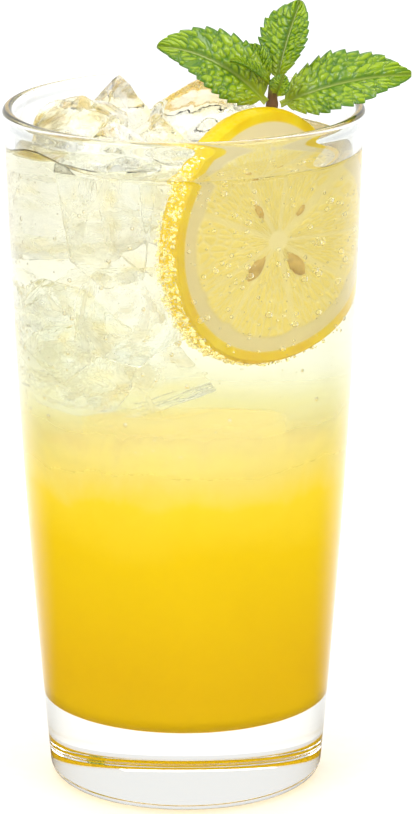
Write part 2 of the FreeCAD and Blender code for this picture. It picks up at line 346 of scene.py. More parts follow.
def make_tumbler():
    """The tumbler turned about Z: the flat underside, the rounded heel as a quarter circle,
    the bowed side, the lip as a half circle, the inner side, the inner corner and the floor."""
    g = bpy.context.scene.lemonade_tumbler
    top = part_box("glass")[1].z
    bead_z = top - g.bead / 2
    inner = side_radius(bead_z, g.wall)
    quarter = np.linspace(0, math.pi / 2, 12)
    under = np.linspace(0.05, 1, 8) * (side_radius(g.heel) - g.heel)
    heel_x = side_radius(g.heel) - g.heel + g.heel * np.sin(quarter)
    heel_z = g.heel - g.heel * np.cos(quarter)
    side_z = np.linspace(g.heel, bead_z - g.blend, 90)[1:]
    blend_t = np.linspace(0, 1, 8)[1:-1]
    blend_z = bead_z - g.blend * (1 - blend_t)
    blend_x = (side_radius(blend_z) + (inner + g.bead - side_radius(bead_z))
               * smooth(blend_t, 0, 1))
    half = np.linspace(0, math.pi, 20)
    lip_x = inner + g.bead / 2 * (1 + np.cos(half))
    lip_z = bead_z + g.bead / 2 * np.sin(half)
    low = g.base + g.corner
    inside_z = np.linspace(bead_z, low, 90)[1:]
    corner_x = side_radius(low, g.wall) - g.corner + g.corner * np.cos(quarter)
    corner_z = low - g.corner * np.sin(quarter)
    floor_x = np.linspace(1, 0.05, 8) * corner_x[-1]
    radius = np.concatenate([under, heel_x[1:], side_radius(side_z), blend_x, lip_x,
                             side_radius(inside_z, g.wall), corner_x[1:], floor_x[1:]])
    height = np.concatenate([np.zeros_like(under), heel_z[1:], side_z, blend_z, lip_z,
                             inside_z, corner_z[1:], np.full_like(floor_x[1:], g.base)])
    return settle(closed_surface("tumbler", lathe(radius, height, 256), clear_glass()),
                  "clear_glass", "glass")


# ---- The drink -----------------------------------------------------------------------------
class DrinkSettings(bpy.types.PropertyGroup):
    into_wall: length("Into wall", 0.3, "How far the drink reaches into the glass")
    climb: length("Climb", 0.6, "How far the drink climbs up the glass at its edge")
    meniscus: length("Meniscus", 1.2, "Width over which the drink climbs at the glass")
    splash: length("Splash", 3.0, "Extra climb where a lump of ice leans on the glass")
    splash_width: length("Splash width", 1.6, "How much wider the climb is at the splash")
    ice_climb: length("Ice climb", 0.7, "How far the drink climbs round the floating ice")
    ripple: length("Ripple", 0.12, "Height of the ripples on the drink")
    # Painted glow: strength of an emission in the cloudy drink that stands in for light that has
    # wandered through the pulp.
    glow: share("Glow", 0.07, "Light that has wandered through the pulp and comes out")
    pale: colour("Pale", "#F8F2DE", "The thin drink at the top")
    cream: colour("Cream", "#FCFAE2", "Where the juice begins")
    straw: colour("Straw", "#F8F09E", "Where the juice grows cloudy")
    lemon: colour("Lemon", "#F2D62C", "Half way down the juice")
    deep: colour("Deep", "#EAC800", "The thick juice")
    amber: colour("Amber", "#E0B700", "The juice at the bottom")
    # Painted light: a paler colour painted on the tops of the pulp shells, so that they don't
    # look dark from above.
    painted_pale_top: colour("Foam", "#FDEEA2", "Pulp seen from above, through the clear drink")
    shadow: colour("Shadow", "#F8F3DA", "Light that each face of the drink lets through")


# Heights above the table between which the juice's colours lie, and their places there.
JUICE_LOW, JUICE_HIGH = 18 * MM, 118 * MM
JUICE_STOPS = {"amber": 0.10, "deep": 0.40, "lemon": 0.51, "straw": 0.62, "cream": 0.72,
               "pale": 1.0}
# The drink turns from cloudy to clear, from rough to sharp and from a painted glow to none over
# these.
CLEARS = 62 * MM, 98 * MM
SHARPENS = 70 * MM, 100 * MM
PAINTED_GLOW_FADES = 70 * MM, 90 * MM
# Each shell of pulp: its share of the drink's radius, its floor above the glass's floor, and
# its top above the table, in millimetres. The pulp thins out between two heights.
PULP_SHELLS = ((0.95, 1.5, 69), (0.74, 7.5, 76), (0.48, 13.5, 83))
PULP_THINS = 94 * MM, 64 * MM
# Where the ice leans on the glass: angle about the axis, and width of the bell curve.
LEAN_ANGLE, LEAN_WIDTH = 3.72, 0.30


def drink_level():
    """Height of the drink above the table."""
    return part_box("lemonade")[1].z


def cloudy_height(tree, unevenness):
    """Height above the table, made uneven by swirls about 26 mm across, as a socket."""
    swirl = add(tree, "ShaderNodeTexNoise", {
        "Vector": object_place(tree), "Scale": 38.0, "Detail": 4.0, "Roughness": 0.55,
        "Distortion": 0.9})
    offset = add(tree, "ShaderNodeMath", {0: swirl.outputs["Fac"], 1: 0.5},
                 operation="SUBTRACT")
    moved = add(tree, "ShaderNodeMath", {0: offset.outputs[0], 1: unevenness,
                                         2: node_height(tree)}, operation="MULTIPLY_ADD")
    return moved.outputs[0]


def juice_shade(tree, height):
    """The juice's colour at a height, from amber at the bottom to pale at the top."""
    g = bpy.context.scene.lemonade_drink
    place = add(tree, "ShaderNodeMapRange", {"Value": height, "From Min": JUICE_LOW,
                                             "From Max": JUICE_HIGH})
    stops = [(stop, getattr(g, name)) for name, stop in JUICE_STOPS.items()]
    return ramp(tree, place.outputs["Result"], stops)


def cloudy_lemonade():
    """Lemonade with its juice settled: nearly clear and pale on top, where it bends light as
    water does, and a soft, cloudy yellow below, where the pulp scatters the light. Below, it
    also has a painted glow: an emission that stands in for light wandering through the pulp."""
    g = bpy.context.scene.lemonade_drink
    t = bpy.context.scene.lemonade_tumbler
    material, tree = new_material("cloudy_lemonade")
    height = cloudy_height(tree, 12 * MM)
    shade = juice_shade(tree, height)
    rough = add(tree, "ShaderNodeMapRange", {
        "Value": height, "From Min": SHARPENS[0], "From Max": SHARPENS[1], "To Min": 0.35,
        "To Max": 0.0})
    # Painted glow: the emission fades out as the drink grows clear.
    glow = add(tree, "ShaderNodeMapRange", {
        "Value": height, "From Min": PAINTED_GLOW_FADES[0], "From Max": PAINTED_GLOW_FADES[1], "To Min": g.glow,
        "To Max": 0.0})
    # The underside, which shows through the thick base, gets a stronger painted glow: an
    # emission that stands in for the light it would take from the table.
    under = between(tree, node_height(tree), t.base + 0.2 * MM, t.base)
    lit = add(tree, "ShaderNodeMath", {0: under, 1: 0.3, 2: glow.outputs["Result"]},
              operation="MULTIPLY_ADD")
    drink = add(tree, "ShaderNodeBsdfPrincipled", {
        "Base Color": shade, "Roughness": rough.outputs["Result"], "IOR": 1.333,
        "Transmission Weight": between(tree, height, *CLEARS), "Specular IOR Level": 0.25,
        "Emission Color": shade, "Emission Strength": lit.outputs[0]})
    return finish_material(material, lets_lamps_through(tree, drink.outputs[0], g.shadow))


def ice_push(x, y):
    """How far the drink climbs round the floating ice: a bell curve of the distance from a
    lump's middle over its half size, highest just inside the lump's side."""
    climb = np.zeros(np.shape(x))
    for name in floating_ice():
        low, high = box_corners(name)
        middle, half = (low + high) / 2, (high - low) / 2
        away = np.hypot((x - middle[0]) / half[0], (y - middle[1]) / half[1])
        climb = np.maximum(climb, np.exp(-((away - 0.95) / 0.16) ** 2))
    return climb


def make_drink():
    """The drink turned about Z: its floor, its corner, its side up to the line where it meets
    the glass, and the top, which climbs at the glass and round the ice.

    The climb at the glass is climb * exp(-distance / meniscus); to the front left, where the
    ice leans on the glass, the splash is added as a bell curve round the glass.
    """
    g = bpy.context.scene.lemonade_drink
    t = bpy.context.scene.lemonade_tumbler
    around = 288
    inset = t.wall - g.into_wall
    low = t.base - g.into_wall
    corner = t.corner
    angle = np.arange(around) * TURN / around
    lean = np.exp(-(((angle - LEAN_ANGLE + math.pi) % TURN - math.pi) / LEAN_WIDTH) ** 2)
    line = drink_level() + g.climb + g.splash * lean
    quarter = np.linspace(0, math.pi / 2, 12)
    corner_x = side_radius(low + corner, inset) - corner + corner * np.sin(quarter)
    corner_z = low + corner - corner * np.cos(quarter)
    floor_x = np.linspace(0.05, 1, 8) * corner_x[0]
    bottom = lathe(np.concatenate([floor_x, corner_x[1:]]),
                   np.concatenate([np.full(8, low), corner_z[1:]]), around)
    rise = np.linspace(0, 1, 120)[1:, None]
    side_z = low + corner + (line - low - corner) * rise
    side = lathe(side_radius(side_z, inset), side_z, around)
    edge = side_radius(line, inset)
    inward = (np.linspace(0, 1, 90)[1:-1] ** 1.4)[:, None] * edge
    top_r = edge - inward
    x, y = top_r * np.cos(angle), top_r * np.sin(angle)
    climb = (line - drink_level()) * np.exp(-inward / (g.meniscus + g.splash_width * lean))
    ripple = waves(np.stack([x, y, np.zeros_like(x)], axis=-1), 15 * MM, 5) * g.ripple
    top_z = drink_level() + climb + ripple + g.ice_climb * ice_push(x, y)
    top = np.stack([x, y, top_z], axis=-1)
    rings = np.concatenate([bottom, side, top])
    return settle(closed_surface("lemonade_drink", rings, cloudy_lemonade()),
                  "lemonade", "lemonade")


def settled_pulp():
    """Pulp and juice that settle below the ice: a soft cloud with no hard edge on top. The
    tops of the shells are painted paler and given a faint painted glow, an emission.
    """
    g = bpy.context.scene.lemonade_drink
    material, tree = new_material("settled_pulp")
    height = cloudy_height(tree, 16 * MM)
    # Painted light: the tops are painted paler and glow faintly by emission.
    top = mark(tree, "top")
    shade = blend(tree, top, juice_shade(tree, height), rgba(g.painted_pale_top))
    glow = add(tree, "ShaderNodeMapRange", {"Value": top, "To Min": 0.0, "To Max": 0.15})
    pulp = add(tree, "ShaderNodeBsdfPrincipled", {
        "Base Color": shade, "Roughness": 0.6, "Specular IOR Level": 0.0,
        "Emission Color": shade, "Emission Strength": glow.outputs["Result"]})
    lit = add(tree, "ShaderNodeBsdfTranslucent", {"Color": shade})
    soft = add(tree, "ShaderNodeMixShader", {0: 0.5, 1: pulp.outputs[0], 2: lit.outputs[0]})
    clear = add(tree, "ShaderNodeBsdfTransparent")
    cloud = add(tree, "ShaderNodeMixShader", {0: between(tree, height, *PULP_THINS),
                                              1: clear.outputs[0], 2: soft.outputs[0]})
    return finish_material(material, cloud.outputs[0])


def make_pulp():
    """Shells of pulp inside the drink, one in another, the inner ones taller: each is a floor,
    a side that follows the glass, and a top with billows that die away at its edge."""
    t = bpy.context.scene.lemonade_tumbler
    around = 96
    angle = np.arange(around) * TURN / around
    pulp = settled_pulp()
    shells = []
    for index, (width, floor_height, top_height) in enumerate(PULP_SHELLS):
        low, high = t.base + floor_height * MM, top_height * MM
        z = low + (high - low) * np.linspace(0, 1, 40)[:, None]
        radius = side_radius(z, t.wall) * width
        side = lathe(radius, z, around)
        inward = np.linspace(1, 0.03, 24)[1:, None]
        x, y = inward * radius[-1] * np.cos(angle), inward * radius[-1] * np.sin(angle)
        billow = waves(np.stack([x, y, np.zeros_like(x)], axis=-1), 22 * MM, 11 + index) * 3 * MM
        top = np.stack([x, y, high + billow * smooth(inward, 1.0, 0.8)], axis=-1)
        floor_radius = np.linspace(0.05, 1, 6)[:-1, None] * radius[0]
        floor = lathe(floor_radius, np.full_like(floor_radius, low), around)
        rings = np.concatenate([floor, side, top])
        # Marks the tops of the shells, where the pulp is painted paler and given a painted glow.
        painted_top_mask = np.zeros(rings.shape[:2])
        painted_top_mask[-len(top):] = smooth(inward, 1.0, 0.85)
        shells.append(settle(closed_surface("pulp_cloud_%d" % (index + 1), rings, pulp,
                                            {"top": painted_top_mask}), "lemonade"))
    return shells


# ---- Ice -----------------------------------------------------------------------------------
class IceSettings(bpy.types.PropertyGroup):
    round_edges: FloatProperty(name="Round edges", default=90.0, min=4, max=120,
                               description="Sharpness of the melted edges")
    dents: length("Dents", 0.4, "Depth of the melted hollows")
    sunk: count("Sunk lumps", 7, "Lumps of ice wholly under the surface")
    clear: colour("Clear", "#FDFEFE", "Clear ice")
    film: colour("Film", "#FFF7D6", "Floating ice that a film of drink has tinted")
    milk: colour("Milk", "#FFFBEA", "Sunk ice with air trapped in it")
    shadow: colour("Shadow", "#F2F2EE", "Light that each face of the ice lets through")


# How much ice bends light: in air, and against the drink that wets it, which hides it nearly.
ICE_IN_AIR = 1.31
FLOATING_IN_DRINK = 1.016
SUNK_IN_DRINK = 1.02
# The dry piece of a floating lump ends this far under the level, and the two overlap.
DRY_BELOW = 0.4 * MM
OVERLAP = 0.1 * MM
# The sunk lumps lie in layers of four, each lower than the last, between two angles about the
# axis that keep them clear of the wheel, and this far in from the glass.
LAYER, LAYER_TOP, LAYER_STEP = 4, 107, 15
SUNK_FROM, SUNK_OVER = 0.62 * math.pi, 0.68 * math.pi
SUNK_INWARD = 13.5 * MM


def floating_ice():
    """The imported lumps' names."""
    return sorted(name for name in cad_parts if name.startswith("ice_"))


def flat_sides(name):
    """The planes of a packed lump: its middle, and each side's direction and distance."""
    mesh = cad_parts[name].data
    normals = np.empty(len(mesh.polygons) * 3)
    middles = np.empty(len(mesh.polygons) * 3)
    mesh.polygons.foreach_get("normal", normals)
    mesh.polygons.foreach_get("center", middles)
    normals, middles = normals.reshape(-1, 3), middles.reshape(-1, 3)
    centre = sum(box_corners(name)) / 2
    return centre, normals, np.einsum("ij,ij->i", normals, middles - centre)


def melted(ways, normals, distances, sharpness):
    """Distance to a lump's surface along each direction: the soft minimum, over the sides, of
    distance / cosine, taken as the -1/p power of the sum of (cosine / distance) ** p."""
    cosines = np.clip(ways @ normals.T, 0, None) / distances
    return (cosines ** sharpness).sum(axis=-1) ** (-1 / sharpness)


def lump_surface(centre, normals, distances, seed):
    """A melted lump as rings of points from pole to pole about its centre: each point is the
    distance to the sides along its direction, less two sizes of shallow hollow."""
    g = bpy.context.scene.lemonade_ice
    polar = np.linspace(0.03, math.pi - 0.03, 72)[:, None]
    angle = (np.arange(96) * TURN / 96)[None]
    ways = np.stack([np.sin(polar) * np.cos(angle), np.sin(polar) * np.sin(angle),
                     np.cos(polar) * np.ones_like(angle)], axis=-1)
    reach = melted(ways, normals, distances, g.round_edges)
    place = centre + ways * reach[..., None]
    dent = np.abs(waves(place, 9 * MM, seed)) * g.dents + np.abs(
        waves(place, 3.2 * MM, seed + 1)) * g.dents * 0.35
    return centre + ways * (reach - dent)[..., None]


def wet_ice(name, milkiness, film, ior, haze):
    """Ice that has melted smooth: glassy, with clouds of trapped air about 10 mm across frozen
    into it, patches of drink about 8 mm across on it, and a fine ripple."""
    g = bpy.context.scene.lemonade_ice
    material, tree = new_material(name)
    place = object_place(tree)
    air = add(tree, "ShaderNodeTexNoise", {"Vector": place, "Scale": 95.0, "Detail": 5.0,
                                           "Roughness": 0.62, "Distortion": 1.2})
    cloud = between(tree, air.outputs["Fac"], 0.47, 0.66)
    white = add(tree, "ShaderNodeMath", {0: cloud, 1: milkiness}, operation="MULTIPLY")
    glassy = add(tree, "ShaderNodeMath", {0: 1.0, 1: white.outputs[0]}, operation="SUBTRACT")
    patches = add(tree, "ShaderNodeTexNoise", {"Vector": place, "Scale": 130.0})
    wetted = between(tree, patches.outputs["Fac"], 0.56, 0.68)
    shade = ramp(tree, wetted, [(0.0, g.clear), (1.0, film)])
    fine = add(tree, "ShaderNodeTexNoise", {"Vector": place, "Scale": 420.0, "Detail": 3.0})
    bumps = add(tree, "ShaderNodeBump", {"Height": fine.outputs["Fac"], "Strength": 0.18,
                                         "Distance": 0.6 * MM})
    ice = add(tree, "ShaderNodeBsdfPrincipled", {
        "Base Color": shade, "Roughness": haze, "IOR": ior,
        "Transmission Weight": glassy.outputs[0], "Normal": bumps.outputs[0]})
    return finish_material(material, lets_lamps_through(tree, ice.outputs[0], g.shadow))


def cut_at(rings, level, above):
    """Rings with what lies past a level pressed flat onto it."""
    pressed = rings.copy()
    pressed[..., 2] = (np.maximum if above else np.minimum)(rings[..., 2], level)
    return pressed


def make_floating_ice():
    """Each floating lump in two pieces that overlap a little just under the surface of the
    drink: the dry one bends light as ice does in air, and the wet one hardly at all."""
    g = bpy.context.scene.lemonade_ice
    dry = wet_ice("floating_ice", 0.55, g.film, ICE_IN_AIR, 0.02)
    wet = wet_ice("wet_ice", 0.42, g.milk, FLOATING_IN_DRINK, 0.0)
    level = drink_level() - DRY_BELOW
    made = []
    for index, name in enumerate(floating_ice()):
        centre, normals, distances = flat_sides(name)
        rings = lump_surface(centre, normals, distances, 20 + index)
        made.append(settle(closed_surface(name + "_dry", cut_at(rings, level, True), dry),
                           "ice", name))
        made.append(settle(closed_surface(name + "_wet", cut_at(rings, level + OVERLAP, False),
                                          wet), "ice"))
    return made


def make_sunk_ice():
    """Lumps under the surface: random boxes, each with ten more planes that break its corners
    off, packed below the floating ones and clear of the wheel."""
    g = bpy.context.scene.lemonade_ice
    t = bpy.context.scene.lemonade_tumbler
    dice = np.random.default_rng(8)
    wet = wet_ice("sunk_ice", 0.5, g.milk, SUNK_IN_DRINK, 0.0)
    made = []
    for index in range(g.sunk):
        turn, _ = np.linalg.qr(dice.normal(size=(3, 3)))
        corners = unit(dice.normal(size=(10, 3)))
        normals = np.concatenate([turn, -turn, corners])
        distances = np.concatenate([dice.uniform(7.0, 9.5, 6),
                                    dice.uniform(8.5, 11.0, 10)]) * MM
        angle = (SUNK_FROM + SUNK_OVER * (index % LAYER) / (LAYER - 1)
                 + dice.uniform(-0.12, 0.12))
        height = (LAYER_TOP - LAYER_STEP * (index // LAYER) + dice.uniform(-4, 4)) * MM
        reach = side_radius(height, t.wall) - SUNK_INWARD
        centre = np.array([reach * math.cos(angle), reach * math.sin(angle), height])
        rings = lump_surface(centre, normals, distances, 60 + index)
        made.append(settle(closed_surface("ice_sunk_%d" % (index + 1), rings, wet), "ice"))
    return made


# ---- The lemon wheel -----------------------------------------------------------------------
class LemonSettings(bpy.types.PropertyGroup):
    segments: count("Segments", 9, "Segments round the core")
    peel: length("Peel", 2.1, "Thickness of the yellow peel")
    pith: length("Pith", 3.2, "Thickness of the pith")
    core: length("Core", 1.9, "Radius of the core")
    membrane: length("Membrane", 0.5, "Half the thickness of the walls between segments")
    crown: length("Crown", 0.7, "How far the peel bulges between the cut faces")
    step: length("Step", 0.35, "How far a cut face lies in from the edge of the peel")
    sacs: length("Sacs", 0.30, "How far the juice sacs stand up")
    pores: length("Pores", 0.18, "Depth of the pores in the peel")
    zest: colour("Zest", "#FBE412", "The outside of the peel")
    zest_deep: colour("Zest deep", "#F8D80C", "Deeper patches of the peel")
    zest_light: colour("Zest light", "#FFEF4C", "Lighter patches of the peel")
    pith_shade: colour("Pith shade", "#F3EBC6", "The pith")
    flesh: colour("Flesh", "#FFF298", "The juice sacs")
    wall_shade: colour("Wall shade", "#FFF8CC", "The membranes and the core")
    pip: colour("Pip", "#B8943C", "The pips")
    pip_light: colour("Pip light", "#DDBB5C", "Lighter streaks in the pips")


# A juice sac's length and width on the cut face.
SAC_LENGTH, SAC_WIDTH = 3.4 * MM, 0.8125 * MM
# Across a pore in the peel and the skin round it.
PORE_SPACING = 1.5 * MM
# Each pip's middle along and up from the core, and its size as a share of a whole pip.
PIPS = ((-4.4, 6.6, 0.85), (-5.0, -5.0, 1.3), (3.9, -5.4, 1.35), (5.0, 5.4, 0.7),
        (-8.4, 4.0, 0.35))
PIP_LENGTH, PIP_RADIUS = 6.4 * MM, 1.25 * MM


def wheel_axes():
    """The wheel's middle, its way along, its way ahead (out of the front face) and its size.

    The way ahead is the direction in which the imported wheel's corners spread least.
    """
    points = node_points("lemon_wheel")
    low, high = box_corners("lemon_wheel")
    middle = (low + high) / 2
    spread = np.linalg.eigh(np.cov((points - middle).T))[1]
    ahead = spread[:, 0] * (1 if spread[1, 0] < 0 else -1)
    along = np.cross(ahead, -UP)
    thickness = np.ptp((points - middle) @ ahead)
    return middle, along, ahead, (high[2] - low[2]) / 2, thickness


def on_wheel(sideways, upwards, forwards):
    """Points at these distances along, up and ahead from the wheel's middle."""
    middle, along, ahead, _, _ = wheel_axes()
    return (middle + sideways[..., None] * along + upwards[..., None] * UP
            + forwards[..., None] * ahead)


def cut_lemon():
    """A cut lemon under drink: juice sacs that let light through, matt pith, oily peel."""
    g = bpy.context.scene.lemonade_lemon
    material, tree = new_material("cut_lemon")
    patchy = add(tree, "ShaderNodeTexNoise", {"Vector": object_place(tree), "Scale": 160.0,
                                              "Detail": 4.0})
    flesh = blend(tree, mark(tree, "sac"), rgba(g.flesh), rgba(g.wall_shade))
    walled = blend(tree, mark(tree, "wall"), flesh, rgba(g.wall_shade))
    pithy = blend(tree, mark(tree, "pith"), walled, rgba(g.pith_shade))
    zest = ramp(tree, patchy.outputs["Fac"], [(0.3, g.zest_deep), (0.55, g.zest),
                                              (0.8, g.zest_light)])
    shade = blend(tree, mark(tree, "peel"), pithy, zest)
    skin = add(tree, "ShaderNodeBsdfPrincipled", {
        "Base Color": shade, "Roughness": 0.35, "Specular IOR Level": 0.3})
    glow = add(tree, "ShaderNodeBsdfTranslucent", {"Color": shade})
    mixed = add(tree, "ShaderNodeMixShader", {0: 0.4, 1: skin.outputs[0], 2: glow.outputs[0]})
    return finish_material(material, mixed.outputs[0])


def wheel_relief(radius, angle, outer):
    """Relief of a cut face, and its marks, at a distance and an angle from the core.

    Segments part at membranes, evenly round the core but for a slow sine of the angle. Pale
    petals reach out from the core. Inside a segment the juice sacs, long cells that point at
    the core, stand up; walls and pith lie lower. The pith bulges into each segment's corners.
    """
    g = bpy.context.scene.lemonade_lemon
    step = TURN / g.segments
    bent = angle + 0.10 * np.sin(3 * angle + 1.0) + 0.05 * np.sin(5 * angle)
    nearest = (bent + step / 2) % step - step / 2
    wall_away = radius * np.abs(np.sin(nearest))
    flesh_edge = outer - g.peel - g.pith
    rounded = flesh_edge - 0.7 * MM * np.exp(-(wall_away / (1.6 * MM)) ** 2)
    wall = (1 - smooth(wall_away, g.membrane * 0.4, g.membrane * 1.8)) * 0.7
    core = 1 - smooth(radius, g.core, g.core * 1.5)
    petals = 0.8 * (1 - smooth(radius * (1 + 2.2 * np.abs(np.sin(bent * 2.5))), 3 * MM, 6 * MM))
    wall = np.maximum(np.maximum(wall, core), petals)
    pith = smooth(radius, rounded - 0.4 * MM, rounded + 0.4 * MM)
    near, far = cells(radius / SAC_LENGTH, bent * radius.mean() / SAC_WIDTH, 3.0)
    sac = smooth(far - near, 0.0, 0.35)
    flesh = (1 - wall) * (1 - pith)
    relief = g.sacs * flesh * (0.4 + 0.6 * sac) + 0.12 * MM * wall * (1 - pith)
    return relief, wall * (1 - pith), pith, (1 - sac) * flesh * 0.6


def make_lemon_wheel():
    """The wheel as one closed skin: rings out over the front face, round the crowned peel and
    in over the back face, each point at (radius, angle, height) about the way ahead.

    The crown is a parabola between the faces. Pores are pressed into it at random places.
    """
    g = bpy.context.scene.lemonade_lemon
    _, _, _, crown_radius, thickness = wheel_axes()
    face_radius = crown_radius - g.crown
    half = thickness / 2 - g.step
    angle = (np.arange(480) * TURN / 480)[None]
    whole_turn = np.ones_like(angle)
    face_r = np.linspace(0.03, 1, 76)[:, None] * (face_radius - 0.3 * MM) * whole_turn
    relief, wall, pith, sac = wheel_relief(face_r, angle, face_radius)
    front = half + relief
    swing = np.linspace(-1, 1, 20)[:, None]
    rim_h = -swing * half * whole_turn
    pores = cells(angle * crown_radius / PORE_SPACING, rim_h / PORE_SPACING, 7.0)[0]
    rim_r = (face_radius + g.crown * (1 - swing ** 2) * whole_turn
             - g.pores * (1 - smooth(pores, 0.1, 0.45)))
    radius = np.concatenate([face_r, rim_r, face_r[::-1]])
    height = np.concatenate([front, rim_h, -front[::-1]])
    ones, zeros = np.ones_like(rim_r), np.zeros_like(rim_r)
    inside = face_radius - g.peel
    marks = {"peel": smooth(radius, inside - 0.25 * MM, inside + 0.25 * MM),
             "pith": np.concatenate([pith, ones, pith[::-1]]),
             "wall": np.concatenate([wall, zeros, wall[::-1]]),
             "sac": np.concatenate([sac, zeros, sac[::-1]])}
    rings = on_wheel(radius * np.cos(angle), radius * np.sin(angle), height)
    return settle(closed_surface("lemon_slice", rings, cut_lemon(), marks), "lemon",
                  "lemon_wheel")


def lemon_pip():
    """A pip's wet, fibrous coat: smooth, with streaks about 2 mm long."""
    g = bpy.context.scene.lemonade_lemon
    material, tree = new_material("lemon_pip")
    streak = add(tree, "ShaderNodeTexNoise", {"Vector": object_place(tree), "Scale": 500.0})
    shade = ramp(tree, streak.outputs["Fac"], [(0.3, g.pip), (0.7, g.pip_light)])
    coat = add(tree, "ShaderNodeBsdfPrincipled", {"Base Color": shade, "Roughness": 0.4})
    return finish_material(material, coat.outputs[0])


def make_pips():
    """Pips by the core, each pointed at it: drops whose thickness is a sine of a power of the
    place along them."""
    thickness = wheel_axes()[-1]
    coat = lemon_pip()
    place = np.linspace(0.02, 0.98, 24)[:, None]
    angle = (np.arange(20) * TURN / 20)[None]
    made = []
    for index, (seat_along, seat_up, size) in enumerate(PIPS):
        out = np.array([seat_along, seat_up]) / math.hypot(seat_along, seat_up)
        thick = PIP_RADIUS * size * np.sin(math.pi * place ** 1.35) ** 0.9
        reach = (place - 0.5) * PIP_LENGTH * size
        rings = on_wheel(seat_along * MM + out[0] * reach - out[1] * thick * np.cos(angle),
                         seat_up * MM + out[1] * reach + out[0] * thick * np.cos(angle),
                         thickness / 2 - 0.45 * MM + 0.55 * thick * np.sin(angle))
        made.append(settle(closed_surface("lemon_pip_%d" % (index + 1), rings, coat), "lemon"))
    return made


# ---- Bubbles -------------------------------------------------------------------------------
class BubbleSettings(bpy.types.PropertyGroup):
    on_glass: count("On glass", 1100, "Bubbles that cling to the glass")
    on_peel: count("On peel", 1300, "Bubbles that cling to the peel")
    on_flesh: count("On flesh", 150, "Bubbles on the cut face")
    smallest: length("Smallest", 0.14, "Radius of the smallest bubble")
    largest: length("Largest", 0.55, "Radius of the largest bubble")
    gas: colour("Gas", "#FFFFFF", "Clear bubbles")
    froth: colour("Froth", "#FFFCDC", "Crowded bubbles on the peel")


# Half of the bubbles on the glass crowd about one angle round the axis.
CROWD_ANGLE, CROWD_WIDTH = math.radians(192), 0.16
# The bubbles on the peel crowd on its left side.
PEEL_ANGLE, PEEL_WIDTH = math.pi * 1.12, 0.75
# How much a bubble bends light against the drink round it: a little more than 1 / 1.333.
GAS_IN_DRINK = 0.78


def fizz(name, tint, clear):
    """Gas in a drink: a bright round skin that bends light and sparkles."""
    material, tree = new_material(name)
    skin = add(tree, "ShaderNodeBsdfPrincipled", {
        "Base Color": rgba(tint), "Roughness": 0.0, "IOR": GAS_IN_DRINK,
        "Transmission Weight": clear})
    white = (1.0, 1.0, 1.0)
    return finish_material(material, lets_lamps_through(tree, skin.outputs[0], white))


def bubble_radii(dice, number):
    """Mostly small bubbles: sizes spread as the cube of an even chance."""
    g = bpy.context.scene.lemonade_bubbles
    return g.smallest + (g.largest - g.smallest) * dice.uniform(0, 1, number) ** 3


def make_glass_bubbles(dice, gas):
    """Bubbles on the inside of the glass, fewer further down, half of them in one crowd."""
    g = bpy.context.scene.lemonade_bubbles
    wall = bpy.context.scene.lemonade_tumbler.wall
    angle = dice.uniform(0, TURN, g.on_glass)
    crowd = g.on_glass // 2
    angle[:crowd] = dice.normal(CROWD_ANGLE, CROWD_WIDTH, crowd)
    height = drink_level() - 3 * MM - dice.uniform(0, 1, g.on_glass) ** 1.5 * 100 * MM
    radii = bubble_radii(dice, g.on_glass)
    reach = side_radius(height, wall) - radii * 0.9
    places = np.stack([reach * np.cos(angle), reach * np.sin(angle), height], axis=-1)
    return settle(beads("bubbles_on_glass", places, radii, gas), "lemonade")


def make_peel_bubbles(dice, froth):
    """Bubbles on the peel, sunk a little into it, as far up as the drink wets it."""
    g = bpy.context.scene.lemonade_bubbles
    middle, _, _, crown_radius, thickness = wheel_axes()
    angle = dice.normal(PEEL_ANGLE, PEEL_WIDTH, g.on_peel)
    radii = bubble_radii(dice, g.on_peel) * 0.8
    reach = crown_radius + 0.4 * radii
    forwards = dice.uniform(-0.5, 0.46, g.on_peel) * thickness
    wet = middle[2] + reach * np.sin(angle) < drink_level() + 4 * MM
    places = on_wheel(reach * np.cos(angle), reach * np.sin(angle), forwards)
    return settle(beads("bubbles_on_peel", places[wet], radii[wet], froth), "lemonade")


def make_flesh_bubbles(dice, gas):
    """Bubbles spread evenly over the sunk part of the front face."""
    g = bpy.context.scene.lemonade_bubbles
    middle, _, _, crown_radius, thickness = wheel_axes()
    angle = dice.uniform(0, TURN, g.on_flesh)
    reach = crown_radius * 0.95 * np.sqrt(dice.uniform(0, 1, g.on_flesh))
    radii = bubble_radii(dice, g.on_flesh) * 1.5
    wet = middle[2] + reach * np.sin(angle) < drink_level() - 2 * MM
    places = on_wheel(reach * np.cos(angle), reach * np.sin(angle),
                      thickness / 2 + 0.5 * radii)
    return settle(beads("bubbles_on_flesh", places[wet], radii[wet], gas), "lemonade")


def make_bubbles():
    """The bubbles on the glass, on the peel and on the flesh, from one run of random draws."""
    g = bpy.context.scene.lemonade_bubbles
    dice = np.random.default_rng(21)
    gas = fizz("fizz", g.gas, 0.94)
    froth = fizz("froth", g.froth, 0.6)
    return [make_glass_bubbles(dice, gas), make_peel_bubbles(dice, froth),
            make_flesh_bubbles(dice, gas)]


